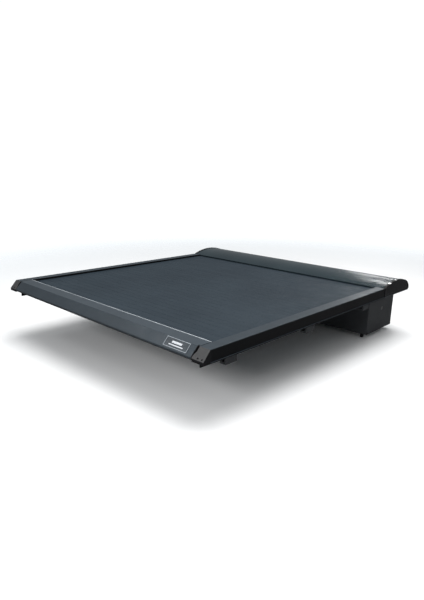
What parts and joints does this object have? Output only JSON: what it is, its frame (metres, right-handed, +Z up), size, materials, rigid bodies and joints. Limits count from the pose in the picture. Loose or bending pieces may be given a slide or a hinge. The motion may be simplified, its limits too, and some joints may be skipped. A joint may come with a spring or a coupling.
{
  "type": "tonneau cover",
  "caption": "Retractable hard cover for a pickup bed: a slatted curtain slides in two side rails and winds into a canister behind the cab, led by a latching pull bar.",
  "frame": {"origin": "middle of the canister's front face, which goes against the bed's front panel, at the height of the bed rails that the side rails sit on", "axes": "+X to the truck's right, +Y towards the cab, +Z up"},
  "size_m": [1.448, 1.6765, 0.336],
  "materials": {
    "rail_coat": "satin black powder coat on aluminium",
    "slat_coat": "fine matt black powder coat on aluminium",
    "bar_coat": "satin black powder coat on aluminium",
    "trim": "brushed bright aluminium",
    "lid_coat": "satin black powder coat on aluminium",
    "tray_coat": "dark grey powder coat on aluminium",
    "bare_aluminium": "mill finish",
    "cap_gloss": "glossy black moulding",
    "cap_grey": "grained dark grey moulding",
    "block_black": "black moulding",
    "bearing_plastic": "natural plain-bearing plastic",
    "black_rubber": "matt rubber",
    "badge": "satin plate with a plain border",
    "webbing": "woven webbing",
    "black_screw": "black oxide",
    "zinc_steel": "zinc plated steel",
    "spring_steel": "oiled spring steel"
  },
  "bodies": {
    "base": {"side_rail_right": "rail_coat", "side_rail_left": "rail_coat", "rail_seal_right": "black_rubber", "rail_seal_left": "black_rubber", "rail_end_cap_right": "cap_grey", "rail_end_cap_left": "cap_grey", "end_cap_screws": "black_screw", "rail_clamps": "tray_coat", "clamp_bolts": "zinc_steel", "canister_lid": "lid_coat", "mouth_seal": "black_rubber", "canister_tray": "tray_coat", "canister_end_right": "tray_coat", "canister_end_left": "tray_coat", "canister_cap_right": "cap_gloss", "canister_cap_left": "cap_gloss", "canister_screws": "black_screw", "drain_spout_right": "block_black", "drain_spout_left": "block_black", "drum_shaft": "zinc_steel", "roller_axle": "zinc_steel"},
    "bar": {"pull_bar": "bar_coat", "bar_screws": "zinc_steel", "bar_trim_strip": "trim", "bar_end_block_right": "block_black", "bar_end_block_left": "block_black", "tailgate_seal": "black_rubber", "badge_plate": "badge", "latch_bracket": "zinc_steel"},
    "latch": {"latch_cam": "zinc_steel", "spindle_clip": "zinc_steel", "release_handle": "block_black"},
    "rod_right": {"latch_rod_right": "zinc_steel"},
    "rod_left": {"latch_rod_left": "zinc_steel"},
    "drum": {"drum_tube": "bare_aluminium", "drum_end_plugs": "block_black", "drum_bearings": "bearing_plastic", "torsion_spring": "spring_steel"},
    "roller": {"guide_roller": "bare_aluminium", "roller_bushes": "bearing_plastic"},
    "curtain_01": {"slats_01_02": "slat_coat"},
    "curtain_02": {"slats_03_04": "slat_coat"},
    "curtain_03": {"slats_05_06": "slat_coat"},
    "curtain_04": {"slats_07_08": "slat_coat"},
    "curtain_05": {"slats_09_10": "slat_coat"},
    "curtain_06": {"slats_11_12": "slat_coat"},
    "curtain_07": {"slats_13_14": "slat_coat"},
    "curtain_08": {"slats_15_16": "slat_coat"},
    "curtain_09": {"slats_17_18": "slat_coat"},
    "curtain_10": {"slats_19_20": "slat_coat"},
    "curtain_11": {"slats_21_22": "slat_coat"},
    "curtain_12": {"slats_23_24": "slat_coat"},
    "curtain_13": {"slats_25_26": "slat_coat"},
    "curtain_14": {"slats_27_28": "slat_coat"},
    "curtain_15": {"slats_29_30": "slat_coat"},
    "curtain_16": {"slats_31_32": "slat_coat"},
    "curtain_17": {"slats_33_34": "slat_coat", "curtain_tethers": "webbing"}
  },
  "joints": [
    {"name": "cover_slide", "type": "slide", "parent": "base", "child": "bar", "axis": [0, 1, 0], "range_m": [0, 1.265], "deforming": ["slats_01_02", "slats_03_04", "slats_05_06", "slats_07_08", "slats_09_10", "slats_11_12", "slats_13_14", "slats_15_16", "slats_17_18", "slats_19_20", "slats_21_22", "slats_23_24", "slats_25_26", "slats_27_28", "slats_29_30", "slats_31_32", "slats_33_34", "curtain_tethers"]},
    {"name": "curtain_01_slide", "type": "slide", "parent": "base", "child": "curtain_01", "axis": [0, 1, 0], "range_m": [0, 1.2655]},
    {"name": "curtain_02_slide", "type": "slide", "parent": "base", "child": "curtain_02", "axis": [0, 1, 0], "range_m": [0, 1.19513]},
    {"name": "curtain_03_slide", "type": "slide", "parent": "base", "child": "curtain_03", "axis": [0, 1, 0], "range_m": [0, 1.12477]},
    {"name": "curtain_04_slide", "type": "slide", "parent": "base", "child": "curtain_04", "axis": [0, 1, 0], "range_m": [0, 1.05441]},
    {"name": "curtain_05_slide", "type": "slide", "parent": "base", "child": "curtain_05", "axis": [0, 1, 0], "range_m": [0, 0.98404]},
    {"name": "curtain_06_slide", "type": "slide", "parent": "base", "child": "curtain_06", "axis": [0, 1, 0], "range_m": [0, 0.91368]},
    {"name": "curtain_07_slide", "type": "slide", "parent": "base", "child": "curtain_07", "axis": [0, 1, 0], "range_m": [0, 0.84331]},
    {"name": "curtain_08_slide", "type": "slide", "parent": "base", "child": "curtain_08", "axis": [0, 1, 0], "range_m": [0, 0.77293]},
    {"name": "curtain_09_slide", "type": "slide", "parent": "base", "child": "curtain_09", "axis": [0, 1, 0], "range_m": [0, 0.70257]},
    {"name": "curtain_10_slide", "type": "slide", "parent": "base", "child": "curtain_10", "axis": [0, 1, 0], "range_m": [0, 0.63222]},
    {"name": "curtain_11_slide", "type": "slide", "parent": "base", "child": "curtain_11", "axis": [0, 1, 0], "range_m": [0, 0.56184]},
    {"name": "curtain_12_slide", "type": "slide", "parent": "base", "child": "curtain_12", "axis": [0, 1, 0], "range_m": [0, 0.49147]},
    {"name": "curtain_13_slide", "type": "slide", "parent": "base", "child": "curtain_13", "axis": [0, 1, 0], "range_m": [0, 0.42111]},
    {"name": "curtain_14_slide", "type": "slide", "parent": "base", "child": "curtain_14", "axis": [0, 1, 0], "range_m": [0, 0.35074]},
    {"name": "curtain_15_slide", "type": "slide", "parent": "base", "child": "curtain_15", "axis": [0, 1, 0], "range_m": [0, 0.28038]},
    {"name": "curtain_16_slide", "type": "slide", "parent": "base", "child": "curtain_16", "axis": [0, 1, 0], "range_m": [0, 0.21002]},
    {"name": "curtain_17_slide", "type": "slide", "parent": "base", "child": "curtain_17", "axis": [0, 1, 0], "range_m": [0, 0.13965]},
    {"name": "drum_turn", "type": "hinge", "parent": "base", "child": "drum", "pos_m": [0, -0.14, -0.105], "axis": [-1, 0, 0], "range_deg": [0, 1200]},
    {"name": "roller_turn", "type": "hinge", "parent": "base", "child": "roller", "pos_m": [0, -0.284, 0.0117], "axis": [-1, 0, 0], "range_deg": [0, 4900]},
    {"name": "latch_turn", "type": "hinge", "parent": "bar", "child": "latch", "pos_m": [0, -1.612, 0.007], "axis": [0, 0, 1], "range_deg": [0, 38.94]},
    {"name": "rod_right_slide", "type": "slide", "parent": "bar", "child": "rod_right", "axis": [1, 0, 0], "range_m": [0, 0.0125]},
    {"name": "rod_left_slide", "type": "slide", "parent": "bar", "child": "rod_left", "axis": [-1, 0, 0], "range_m": [0, 0.0125]}
  ],
  "couplings": [
    {"joint": "curtain_01_slide", "follows": "cover_slide", "ratio": 1},
    {"joint": "curtain_02_slide", "follows": "cover_slide", "ratio": 0.94437},
    {"joint": "curtain_03_slide", "follows": "cover_slide", "ratio": 0.88875},
    {"joint": "curtain_04_slide", "follows": "cover_slide", "ratio": 0.83313},
    {"joint": "curtain_05_slide", "follows": "cover_slide", "ratio": 0.7775},
    {"joint": "curtain_06_slide", "follows": "cover_slide", "ratio": 0.72188},
    {"joint": "curtain_07_slide", "follows": "cover_slide", "ratio": 0.66625},
    {"joint": "curtain_08_slide", "follows": "cover_slide", "ratio": 0.61062},
    {"joint": "curtain_09_slide", "follows": "cover_slide", "ratio": 0.555},
    {"joint": "curtain_10_slide", "follows": "cover_slide", "ratio": 0.49938},
    {"joint": "curtain_11_slide", "follows": "cover_slide", "ratio": 0.44375},
    {"joint": "curtain_12_slide", "follows": "cover_slide", "ratio": 0.38812},
    {"joint": "curtain_13_slide", "follows": "cover_slide", "ratio": 0.3325},
    {"joint": "curtain_14_slide", "follows": "cover_slide", "ratio": 0.27687},
    {"joint": "curtain_15_slide", "follows": "cover_slide", "ratio": 0.22125},
    {"joint": "curtain_16_slide", "follows": "cover_slide", "ratio": 0.16563},
    {"joint": "curtain_17_slide", "follows": "cover_slide", "ratio": 0.11},
    {"joint": "drum_turn", "follows": "cover_slide", "rad_per_m": 16},
    {"joint": "roller_turn", "follows": "cover_slide", "rad_per_m": 66.667},
    {"joint": "rod_right_slide", "follows": "latch_turn", "m_per_rad": 0.017657},
    {"joint": "rod_left_slide", "follows": "latch_turn", "m_per_rad": 0.017657}
  ]
}
